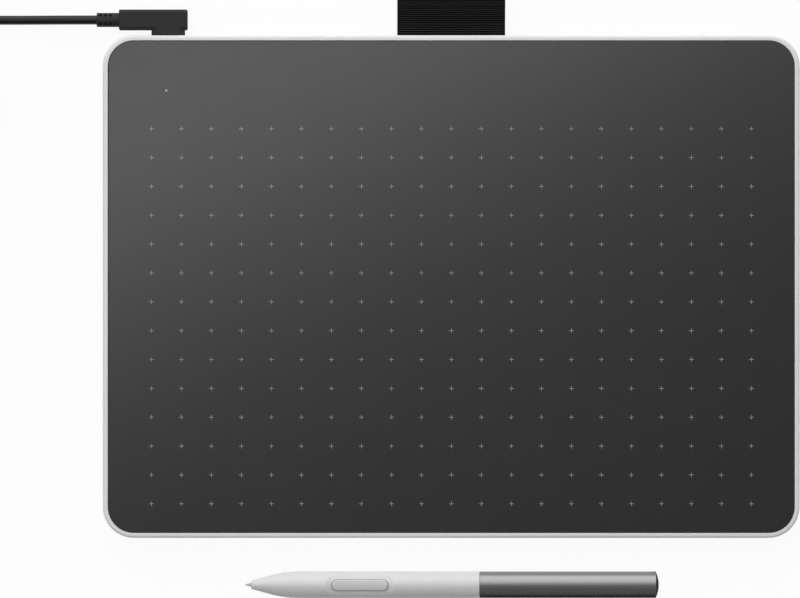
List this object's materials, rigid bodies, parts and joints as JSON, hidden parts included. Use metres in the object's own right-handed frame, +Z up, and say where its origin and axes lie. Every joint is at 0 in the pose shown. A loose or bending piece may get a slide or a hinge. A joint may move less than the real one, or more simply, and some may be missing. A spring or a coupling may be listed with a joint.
{
  "type": "graphics tablet",
  "caption": "Flat pen tablet with a dotted drawing surface, a rear webbing pen loop, a two-tone pen with a side switch, and a cable with an angled plug.",
  "frame": {"origin": "on the desk, under the middle of tablet, pen loop and pen together", "axes": "+X to the tablet's right, +Y to its rear edge with the cable socket, +Z up"},
  "size_m": [0.3501, 0.2244, 0.0165],
  "materials": {
    "cover_white": "fine satin, off-white",
    "case_black": "fine matte, near black",
    "sheet_black": "finely textured, matte, near black",
    "foot_rubber": "matte",
    "label_grey": "bare, satin",
    "screw_steel": "plain zinc",
    "board_green": "solder mask, satin",
    "shield_metal": "rolled",
    "foam_grey": "open foam",
    "chip_black": "moulded",
    "ribbon_amber": "thin film",
    "connector_ivory": "moulded",
    "light_clear": "clear",
    "button_grey": "satin, pale grey",
    "socket_metal": "drawn, bright",
    "tongue_black": "moulded",
    "tongue_white": "moulded",
    "contact_gold": "gold plated",
    "battery_foil": "pouch foil",
    "lead_rubber": "thin insulation",
    "webbing_black": "ribbed woven webbing, black",
    "tie_rubber": "soft, matte black",
    "clamp_plastic": "moulded",
    "pen_white": "satin, pale grey",
    "pen_grey": "metallic dark grey, satin",
    "key_grey": "satin, pale grey",
    "nib_grey": "matte",
    "pen_inner": "moulded",
    "ferrite_dark": "sintered",
    "copper": "enamelled wire",
    "pin_steel": "ground",
    "ring_rubber": "smooth",
    "plug_black": "moulded, satin black",
    "cable_black": "smooth, slightly glossy black"
  },
  "bodies": {
    "tablet": {"back_cover": "cover_white", "top_case": "case_black", "drawing_sheet": "sheet_black", "rubber_feet": "foot_rubber", "rating_label": "label_grey", "case_screws": "screw_steel", "board_screws": "screw_steel", "clamp_screws": "screw_steel", "sensor_board": "board_green", "main_board": "board_green", "shield_plate": "shield_metal", "radio_module": "shield_metal", "support_foam": "foam_grey", "controller_chip": "chip_black", "power_switch": "chip_black", "sensor_ribbon": "ribbon_amber", "ribbon_connectors": "connector_ivory", "battery_connector": "connector_ivory", "light_pipe": "light_clear", "status_led": "light_clear", "socket_shell": "socket_metal", "angled_plug_insert": "socket_metal", "computer_plug_shell": "socket_metal", "socket_tongue": "tongue_black", "computer_plug_tongue": "tongue_white", "computer_plug_contacts": "contact_gold", "battery": "battery_foil", "battery_leads": "lead_rubber", "pen_loop": "webbing_black", "cable_ties": "tie_rubber", "loop_clamp": "clamp_plastic", "angled_plug_body": "plug_black", "angled_plug_sleeve": "plug_black", "computer_plug_body": "plug_black", "computer_plug_sleeve": "plug_black", "cable_run": "cable_black", "cable_coil": "cable_black", "cable_tail": "cable_black"},
    "pen": {"pen_front_case": "pen_white", "ferrite_core": "ferrite_dark", "core_winding": "copper", "pressure_sensor": "ferrite_dark", "pen_chassis": "pen_inner", "friction_ring": "ring_rubber", "pen_board": "board_green", "pen_chip": "chip_black", "side_switch_contacts": "chip_black", "side_switch_pin": "pin_steel", "spare_nib_rack": "pen_inner", "spare_nibs": "nib_grey"},
    "nib": {"pen_nib": "nib_grey", "nib_holder": "pen_inner"},
    "side_switch": {"side_switch": "key_grey"},
    "rear_case": {"pen_rear_case": "pen_grey"},
    "power_button": {"power_button": "button_grey", "power_switch_plunger": "button_grey"}
  },
  "joints": [
    {"name": "pen_lift", "type": "slide", "parent": "tablet", "child": "pen", "axis": [0, 0, 1], "range_m": [0, 0.12]},
    {"name": "nib_press", "type": "slide", "parent": "pen", "child": "nib", "axis": [1, 0, 0], "range_m": [0, 0.0005], "stiffness_N_per_m": 2000},
    {"name": "side_switch_rock", "type": "hinge", "parent": "pen", "child": "side_switch", "pos_m": [-0.0329, -0.10745, 0.00604], "axis": [0, 1, 0], "range_deg": [-2.2, 2.2], "stiffness_Nm_per_rad": 0.2},
    {"name": "rear_case_pull", "type": "slide", "parent": "pen", "child": "rear_case", "axis": [1, 0, 0], "range_m": [0, 0.065]},
    {"name": "power_button_press", "type": "slide", "parent": "tablet", "child": "power_button", "axis": [0, -1, 0], "range_m": [0, 0.0004], "stiffness_N_per_m": 2500}
  ]
}
